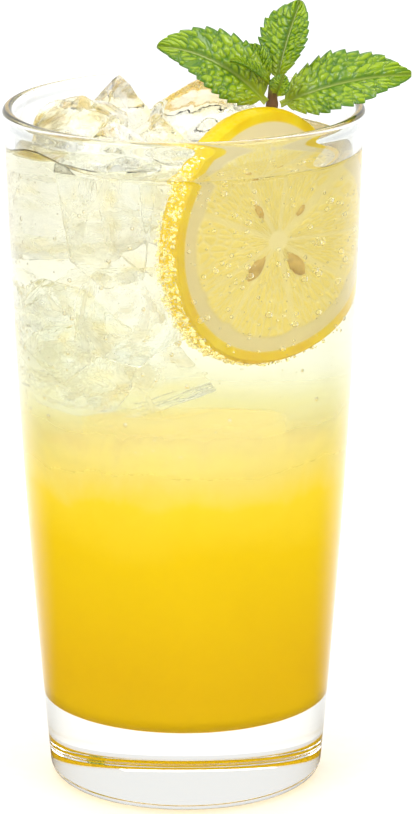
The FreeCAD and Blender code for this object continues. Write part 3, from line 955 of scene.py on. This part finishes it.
# ---- Mint ----------------------------------------------------------------------------------
class MintSettings(bpy.types.PropertyGroup):
    stem_radius: length("Stem radius", 1.0, "Radius of the stem")
    node_radius: length("Node radius", 1.3, "Radius of the knuckle that the leaves leave")
    leaf: length("Leaf", 0.42, "Thickness of a leaf")
    quilt: length("Quilt", 0.62, "How far the blade swells between its veins")
    veins: count("Veins", 8, "Side veins on each half of a leaf")
    # Painted shade: the leaf's green is painted darker in the hollows between the swells and
    # lighter on them.
    deep: colour("Deep", "#5E9200", "Leaf in the hollows")
    lit_swell_green: colour("Fresh", "#B0D000", "Leaf on the swells")
    young: colour("Young", "#C6D42A", "Young leaf by the stalk")
    rib: colour("Rib", "#B4C650", "Veins")
    stem: colour("Stem", "#6B4A2A", "Woody stem")
    stem_tip: colour("Stem tip", "#86933A", "Young top of the stem")


# Heights above the table between which the stem turns green.
STEM_GREENS = 151.5 * MM, 154.5 * MM
# The leaves leave the stem at a knuckle, this far under its top and this high.
KNUCKLE_DROP, KNUCKLE_HEIGHT = 4.9 * MM, 1.1 * MM

# A leaf in millimetres: drop of its seat under the stem's top, way out of the stem, tip from
# the seat, middle of the rib off the straight line, way it faces, half width, share of the
# length at its widest, fold of each half in degrees, droop of the edges and number of teeth.
Leaf = namedtuple("Leaf", "drop way tip belly face width widest fold droop teeth")
MINT_LEAVES = {
    "mint_leaf_left": Leaf(3.9, (-0.7, -0.8, -0.1), (-23.4, -6.4, 13.5), (0.4, 0.3, 2.8),
                           (-0.2, -0.74, 0.66), 7.2, 0.40, 16.0, 0.12, 11),
    "mint_leaf_right": Leaf(4.9, (1.0, -0.2, 0.1), (28.0, -2.4, 6.9), (-0.3, -0.6, 1.7),
                            (-0.1, -0.70, 0.72), 7.5, 0.42, 17.0, 0.12, 11),
    "mint_leaf_top": Leaf(0.4, (0.5, 0.9, 0.3), (5.2, 5.2, 16.55), (-0.3, 0.6, 0.2),
                          (-0.5, -0.83, 0.25), 6.3, 0.50, 27.0, 0.1, 9),
    "mint_leaf_inner": Leaf(0.5, (-0.8, 0.5, 0.5), (-5.0, 2.2, 7.0), (0.3, 0.2, 0.8),
                            (0.2, -0.85, 0.5), 2.9, 0.5, 26.0, 0.1, 6),
    "mint_leaf_young": Leaf(0.9, (-0.6, -0.8, 0.6), (-8.4, -5.0, 6.0), (0.2, -0.3, 0.9),
                            (0.1, -0.6, 0.75), 1.7, 0.45, 45.0, 0.0, 5),
    "mint_leaf_bud": Leaf(2.4, (0.6, -1.0, 0.3), (1.3, -1.6, 4.4), (0.1, -0.5, 0.0),
                          (-0.2, -0.9, 0.2), 2.2, 0.5, 22.0, 0.1, 4),
}
# Half width of a leaf whose swells have their full height, and the width of a swell.
FULL_WIDTH = 7.0
SWELL = 1.5 * MM


def stem_line():
    """The stem's axis, from the middle of its lower end to the middle of its top."""
    points = node_points("mint_stem")
    low = points[points[:, 2] < points[:, 2].min() + 0.3 * MM].mean(axis=0)
    top = points[points[:, 2] > points[:, 2].max() - 0.3 * MM].mean(axis=0)
    return low, top


def mint_blade():
    """A mint leaf: quilted between its veins, waxy on top, and lit through from behind. Its
    green varies at random over about 5 mm and is painted darker, as painted shade, in the
    hollows between the swells and at rib and edge, and its wax has a grain of about 2 mm."""
    g = bpy.context.scene.lemonade_mint
    material, tree = new_material("mint_blade")
    place = object_place(tree)
    patchy = add(tree, "ShaderNodeTexNoise", {"Vector": place, "Scale": 210.0, "Detail": 4.0})
    # Painted shade: the swell mark times a random tone, so the green is darkest in the hollows
    # and at rib and edge.
    light = add(tree, "ShaderNodeMath", {0: mark(tree, "swell"), 1: patchy.outputs["Fac"]},
                operation="MULTIPLY")
    green = ramp(tree, light.outputs[0], [(0.08, g.deep), (0.42, g.lit_swell_green)])
    by_stalk = add(tree, "ShaderNodeMapRange", {"Value": mark(tree, "along"), "From Min": 0.0,
                                                "From Max": 0.32, "To Min": 0.8, "To Max": 0.0})
    young = blend(tree, by_stalk.outputs["Result"], green, rgba(g.young))
    veined = blend(tree, mark(tree, "vein"), young, rgba(g.rib))
    fine = add(tree, "ShaderNodeTexNoise", {"Vector": place, "Scale": 600.0, "Detail": 3.0})
    bumps = add(tree, "ShaderNodeBump", {"Height": fine.outputs["Fac"], "Strength": 0.4,
                                         "Distance": 0.5 * MM})
    wax = add(tree, "ShaderNodeBsdfPrincipled", {
        "Base Color": veined, "Roughness": 0.28, "Specular IOR Level": 1.0,
        "Normal": bumps.outputs[0]})
    lit = add(tree, "ShaderNodeBsdfTranslucent", {"Color": veined})
    leaf = add(tree, "ShaderNodeMixShader", {0: 0.28, 1: wax.outputs[0], 2: lit.outputs[0]})
    return finish_material(material, leaf.outputs[0])


def leaf_rib(leaf, stem_top, s):
    """The rib's points at the places s along it, and its ways sideways and out of the face.

    The rib is a quadratic curve from the knuckle to the tip, pushed off the straight line at
    its middle by the belly.
    """
    g = bpy.context.scene.lemonade_mint
    axis = unit(stem_top - stem_line()[0])
    seat = (stem_top - axis * leaf.drop * MM / axis[2]
            + unit(np.array(leaf.way)) * (g.node_radius + 0.45 * MM))
    end = seat + np.array(leaf.tip) * MM
    control = (seat + end) / 2 + np.array(leaf.belly) * 2 * MM
    rib = seat * (1 - s) ** 2 + control * (2 * s * (1 - s)) + end * s ** 2
    forward = unit((control - seat) * (1 - s) + (end - control) * s)
    side = unit(np.cross(forward, np.array(leaf.face)))
    return rib, side, unit(np.cross(side, forward))


def leaf_half_width(leaf, s):
    """Half the width at the places s: a sine of a power of s that peaks where the leaf is
    widest, notched by saw teeth, and widened a little at the stalk."""
    on_blade = np.clip((s - 0.05) / 0.95, 0, 1)
    body = np.sin(math.pi * on_blade ** (math.log(0.5) / math.log(leaf.widest))) ** 0.74
    tooth = (s * leaf.teeth) % 1.0
    body = body * (1 + 0.15 * (tooth ** 0.8 - 0.6))
    return (leaf.width * body + 0.7 * (1 - s) ** 3 + 0.15) * MM


def leaf_quilting(half, s, v, seed):
    """How far the blade swells, from 0 to 1, and where its side veins run.

    The side veins leave the rib at a slant, at equal steps of s less a share of the way to
    the edge. Between them the blade swells in small cells, and lies flat at rib and edge.
    """
    g = bpy.context.scene.lemonade_mint
    away = np.abs(v)
    slant = s * g.veins * 1.15 - away * 1.9 + 0.5 * (v > 0)
    gap = np.abs(slant - np.round(slant))
    near, far = cells(slant * 1.6, away * half / SWELL, seed * 7.0 + 1.0)
    envelope = smooth(away, 0.02, 0.2) * (1 - smooth(away, 0.86, 1.0)) * smooth(s, 0.03, 0.15)
    swell = (0.3 * smooth(gap, 0.0, 0.3) + 0.7 * smooth(far - near, 0.0, 0.5)) * envelope
    return swell, np.exp(-(gap / 0.05) ** 2) * 0.18 * envelope


def make_leaf(name, leaf, blade, stem_top, seed):
    """A leaf as one closed skin that runs across its upper side and back under it.

    s is the place along the rib, and v the place across it, from -1 to 1. The halves fold up
    from the rib and droop by the square of v, the rib lies in a groove, and a slow wave lifts
    the edges. The underside lies a leaf's thickness lower, and swells less.
    """
    g = bpy.context.scene.lemonade_mint
    across_number = 53
    over, back = np.linspace(-1, 1, across_number), np.linspace(1, -1, across_number)[1:-1]
    s = np.linspace(0.004, 0.997, 190)[:, None]
    v = np.concatenate([over, back])[None]
    upper = np.concatenate([np.ones_like(over), np.zeros_like(back)])[None]
    away = np.abs(v)
    rib, side, normal = leaf_rib(leaf, stem_top, s)
    half = leaf_half_width(leaf, s)
    swell, side_veins = leaf_quilting(half, s, v, seed)
    groove = np.exp(-(v * half / (0.36 * MM)) ** 2)
    size, fold = leaf.width / FULL_WIDTH, math.radians(leaf.fold)
    lift = away * math.sin(fold) - leaf.droop * away ** 2
    height = half * lift + g.quilt * size ** 0.5 * swell * (0.35 + 0.65 * upper)
    height = height - 0.22 * MM * groove * size - (1 - upper) * g.leaf
    height = height + waves(rib[:, None], 9 * MM, seed) * 0.5 * MM * away
    across = v * half * math.cos(fold)
    rings = (rib[:, None] + side[:, None] * across[..., None]
             + normal[:, None] * height[..., None])
    vein = np.maximum(groove * 0.9, side_veins)
    marks = {"vein": vein * (0.55 + 0.45 * upper), "swell": swell,
             "along": np.broadcast_to(s, vein.shape)}
    return settle(closed_surface(name + "_blade", rings, blade, marks), "mint_leaf", name)


def mint_stalk():
    """A mint stem: woody brown below, greener at the tip, faintly ridged."""
    g = bpy.context.scene.lemonade_mint
    material, tree = new_material("mint_stalk")
    green = between(tree, node_height(tree), *STEM_GREENS)
    shade = ramp(tree, green, [(0.0, g.stem), (1.0, g.stem_tip)])
    bark = add(tree, "ShaderNodeBsdfPrincipled", {"Base Color": shade, "Roughness": 0.5})
    return finish_material(material, bark.outputs[0])


def make_stalk():
    """The stem as rings along its axis: a circle with four faint ridges, thicker by a bell
    curve at the knuckle, and closing steeply at both ends."""
    g = bpy.context.scene.lemonade_mint
    low, top = stem_line()
    along = np.linspace(0, 1, 80)[:, None]
    angle = (np.arange(32) * TURN / 32)[None]
    from_top = (1 - along) * (top[2] - low[2])
    knuckle = np.exp(-((from_top - KNUCKLE_DROP) / KNUCKLE_HEIGHT) ** 2)
    end = np.sqrt(np.clip(1 - (np.abs(along - 0.5) * 2) ** 60, 0.02, 1))
    radius = (g.stem_radius * (1 + 0.05 * np.cos(4 * angle)) * end
              + (g.node_radius - g.stem_radius) * knuckle)
    round_axis = np.stack([radius * np.cos(angle), radius * np.sin(angle),
                           np.zeros_like(radius)], axis=-1)
    rings = (low + (top - low) * along)[:, None] + round_axis
    return settle(closed_surface("mint_stalk", rings, mint_stalk()), "mint_stem", "mint_stem")


def make_mint():
    """The leaves and the stem that they leave."""
    blade = mint_blade()
    top = stem_line()[1]
    leaves = [make_leaf(name, leaf, blade, top, index + 2)
              for index, (name, leaf) in enumerate(MINT_LEAVES.items())]
    return leaves + [make_stalk()]


# ---- The studio ----------------------------------------------------------------------------
class StudioSettings(bpy.types.PropertyGroup):
    distance: FloatProperty(name="Distance", default=0.95, unit="LENGTH",
                            description="From the camera to the axis of the glass")
    height: FloatProperty(name="Height", default=0.34822, unit="LENGTH",
                          description="Height of the camera above the table")
    pitch: FloatProperty(name="Pitch", default=math.radians(15.598), unit="ROTATION",
                         description="How far the camera looks down")
    yaw: FloatProperty(name="Yaw", default=math.radians(0.285), unit="ROTATION",
                       description="How far the camera looks to the right")
    roll: FloatProperty(name="Roll", default=math.radians(-0.115), unit="ROTATION",
                        description="How far the camera leans")
    lens: FloatProperty(name="Lens", default=200.56, description="Focal length in millimetres")
    sky: FloatProperty(name="Sky", default=0.95, description="Brightness of the room")
    front: FloatProperty(name="Front", default=0.6,
                         description="Brightness of the room behind the camera")
    table: colour("Table", "#F7F7F7", "The white table")
    table_fleck: colour("Table fleck", "#FAFAFA", "Lighter flecks in the table")
    table_glare: colour("Table glare", "#303030", "The table as a reflection shows it")


# Each soft box: its place, the sides of its rectangle, its power in watts and its aim.
SOFT_BOXES = {
    "soft_box_left": ((-0.75, -0.60, 0.75), (0.6, 0.6), 5.6, (0, 0, 0.08)),
    "soft_box_right": ((0.75, -0.55, 0.70), (0.6, 0.6), 5.0, (0, 0, 0.08)),
    "soft_box_back": ((-0.1, 0.9, 0.95), (1.3, 0.7), 4.6, (0, 0.25, 0.0)),
}
TABLE_RADIUS, TABLE_TOP, TABLE_UNDERSIDE = 2.2, -0.2 * MM, -12 * MM


def make_camera():
    """The camera, level but for its small roll, at its distance in front of the glass."""
    g = bpy.context.scene.lemonade_studio
    ahead = Vector((math.sin(g.yaw) * math.cos(g.pitch), math.cos(g.yaw) * math.cos(g.pitch),
                    -math.sin(g.pitch)))
    right = ahead.cross(Vector((0, 0, 1))).normalized()
    up = right.cross(ahead)
    right, up = (right * math.cos(g.roll) + up * math.sin(g.roll),
                 up * math.cos(g.roll) - right * math.sin(g.roll))
    lens = bpy.data.cameras.new("camera")
    lens.sensor_fit = "VERTICAL"
    lens.sensor_height = 36
    lens.lens = g.lens
    lens.clip_start = 0.05
    camera = bpy.data.objects.new("camera", lens)
    turn = Matrix((right, up, -ahead)).transposed().to_4x4()
    camera.matrix_world = Matrix.Translation((0, -g.distance, g.height)) @ turn
    bpy.context.scene.collection.objects.link(camera)
    bpy.context.scene.camera = camera


def make_lamp(name, place, size, power, aim):
    """A soft box: a rectangle that shines at its aim."""
    lamp = bpy.data.lights.new(name, "AREA")
    lamp.shape = "RECTANGLE"
    lamp.size, lamp.size_y = size
    lamp.energy = power
    made = bpy.data.objects.new(name, lamp)
    made.location = place
    made.rotation_euler = (Vector(aim) - Vector(place)).to_track_quat("-Z", "Y").to_euler()
    bpy.context.scene.collection.objects.link(made)


def make_room():
    """A bright room that is white to the lens and dimmer at the front, behind the lens, so
    that the glass shows few reflections there."""
    g = bpy.context.scene.lemonade_studio
    world = bpy.data.worlds.new("room")
    world.use_nodes = True
    tree = world.node_tree
    tree.nodes.clear()
    way = add(tree, "ShaderNodeTexCoord").outputs["Generated"]
    split = add(tree, "ShaderNodeSeparateXYZ", {0: way})
    facing = add(tree, "ShaderNodeMapRange", {"Value": split.outputs["Y"], "From Min": -0.9,
                                              "From Max": 0.1, "To Min": g.front,
                                              "To Max": g.sky})
    path = add(tree, "ShaderNodeLightPath")
    seen = add(tree, "ShaderNodeMix", {0: path.outputs["Is Camera Ray"],
                                       2: facing.outputs["Result"], 3: 1.0})
    back = add(tree, "ShaderNodeBackground", {"Strength": seen.outputs[0]})
    back.inputs["Color"].default_value = (1, 1, 1, 1)
    add(tree, "ShaderNodeOutputWorld", {"Surface": back.outputs[0]})
    return world


def white_table():
    """A white laminate table, matt and faintly flecked. A mirror image of it is darker where
    it lies beside or before the glass, so that the glass isn't veiled with white there."""
    g = bpy.context.scene.lemonade_studio
    material, tree = new_material("white_table")
    place = object_place(tree)
    grain = add(tree, "ShaderNodeTexNoise", {"Vector": place, "Scale": 300.0})
    shade = ramp(tree, grain.outputs["Fac"], [(0.3, g.table), (0.7, g.table_fleck)])
    board = add(tree, "ShaderNodeBsdfDiffuse", {"Color": shade})
    dim = add(tree, "ShaderNodeBsdfDiffuse", {"Color": rgba(g.table_glare)})
    path = add(tree, "ShaderNodeLightPath")
    mirrored = add(tree, "ShaderNodeMath", {0: path.outputs["Is Glossy Ray"],
                                            1: path.outputs["Is Reflection Ray"]},
                   operation="MULTIPLY")
    way = add(tree, "ShaderNodeVectorMath", {0: place}, operation="NORMALIZE")
    behind = add(tree, "ShaderNodeSeparateXYZ", {0: way.outputs[0]}).outputs["Y"]
    dimmed = add(tree, "ShaderNodeMath", {0: mirrored.outputs[0],
                                          1: between(tree, behind, 0.9, 0.2)},
                 operation="MULTIPLY")
    seen = add(tree, "ShaderNodeMixShader", {0: dimmed.outputs[0], 1: board.outputs[0],
                                             2: dim.outputs[0]})
    return finish_material(material, seen.outputs[0])


def make_table():
    """The table: a round slab, turned about Z, whose top lies just under the glass."""
    radius = np.linspace(0.05, 1, 12) * TABLE_RADIUS
    slab = lathe(np.concatenate([radius, radius[::-1]]),
                 np.repeat([TABLE_TOP, TABLE_UNDERSIDE], 12), 64)
    table = closed_surface("table", slab, white_table())
    return table


def make_studio():
    """A white table in a bright room, with a soft box at each side and one behind."""
    table = make_table()
    scene = bpy.context.scene
    scene.world = make_room()
    for name, (place, size, power, aim) in SOFT_BOXES.items():
        make_lamp(name, place, size, power, aim)
    make_camera()
    scene.view_settings.view_transform = "Standard"
    scene.cycles.max_bounces = 24
    scene.cycles.transmission_bounces = 20
    scene.cycles.transparent_max_bounces = 24
    scene.cycles.glossy_bounces = 20
    scene.cycles.diffuse_bounces = 5
    return [table]


# ---- Operators, panel and registration -----------------------------------------------------
def report_made(pieces):
    """What an operator returns, or an error that stops the script if a piece is empty."""
    for piece in pieces:
        if not len(piece.data.polygons):
            raise RuntimeError("%s came out empty" % piece.name)
    return {"FINISHED"}


class LEMONADE_OT_tumbler(bpy.types.Operator):
    """Make the tumbler"""
    bl_idname = "lemonade.tumbler"
    bl_label = "Tumbler"

    def execute(self, context):
        return report_made([make_tumbler()])


class LEMONADE_OT_drink(bpy.types.Operator):
    """Make the drink and the pulp that has settled in it"""
    bl_idname = "lemonade.drink"
    bl_label = "Drink"

    def execute(self, context):
        return report_made([make_drink()] + make_pulp())


class LEMONADE_OT_ice(bpy.types.Operator):
    """Make the floating and the sunk ice"""
    bl_idname = "lemonade.ice"
    bl_label = "Ice"

    def execute(self, context):
        return report_made(make_floating_ice() + make_sunk_ice())


class LEMONADE_OT_lemon(bpy.types.Operator):
    """Make the lemon wheel and its pips"""
    bl_idname = "lemonade.lemon"
    bl_label = "Lemon wheel"

    def execute(self, context):
        return report_made([make_lemon_wheel()] + make_pips())


class LEMONADE_OT_bubbles(bpy.types.Operator):
    """Make the bubbles that cling to the glass and the lemon"""
    bl_idname = "lemonade.bubbles"
    bl_label = "Bubbles"

    def execute(self, context):
        return report_made(make_bubbles())


class LEMONADE_OT_mint(bpy.types.Operator):
    """Make the sprig of mint"""
    bl_idname = "lemonade.mint"
    bl_label = "Mint"

    def execute(self, context):
        return report_made(make_mint())


class LEMONADE_OT_studio(bpy.types.Operator):
    """Make the table, the lamps and the camera"""
    bl_idname = "lemonade.studio"
    bl_label = "Studio"

    def execute(self, context):
        return report_made(make_studio())


OPERATORS = (LEMONADE_OT_studio, LEMONADE_OT_tumbler, LEMONADE_OT_drink, LEMONADE_OT_ice,
             LEMONADE_OT_lemon, LEMONADE_OT_bubbles, LEMONADE_OT_mint)
SETTINGS = {"lemonade_tumbler": TumblerSettings, "lemonade_drink": DrinkSettings,
            "lemonade_ice": IceSettings, "lemonade_lemon": LemonSettings,
            "lemonade_bubbles": BubbleSettings, "lemonade_mint": MintSettings,
            "lemonade_studio": StudioSettings}


class LEMONADE_PT_panel(bpy.types.Panel):
    """The settings and the pieces, in the sidebar of the 3D view"""
    bl_idname = "LEMONADE_PT_panel"
    bl_label = "Glass of lemonade"
    bl_space_type = "VIEW_3D"
    bl_region_type = "UI"
    bl_category = "Lemonade"

    def draw(self, context):
        for name, group in SETTINGS.items():
            box = self.layout.box()
            for key in group.__annotations__:
                box.prop(getattr(context.scene, name), key)
        for operator in OPERATORS:
            self.layout.operator(operator.bl_idname)


def register():
    """Register the settings, the operators and the panel."""
    for name, group in SETTINGS.items():
        bpy.utils.register_class(group)
        setattr(bpy.types.Scene, name, PointerProperty(type=group))
    for operator in OPERATORS:
        bpy.utils.register_class(operator)
    bpy.utils.register_class(LEMONADE_PT_panel)


def unregister():
    """Take away what register added, in the opposite order."""
    bpy.utils.unregister_class(LEMONADE_PT_panel)
    for operator in reversed(OPERATORS):
        bpy.utils.unregister_class(operator)
    for name, group in reversed(list(SETTINGS.items())):
        delattr(bpy.types.Scene, name)
        bpy.utils.unregister_class(group)


def main():
    """Make the whole glass."""
    register()
    bpy.ops.lemonade.studio()
    bpy.ops.lemonade.tumbler()
    bpy.ops.lemonade.drink()
    bpy.ops.lemonade.ice()
    bpy.ops.lemonade.lemon()
    bpy.ops.lemonade.bubbles()
    bpy.ops.lemonade.mint()


if __name__ == "__main__":
    main()
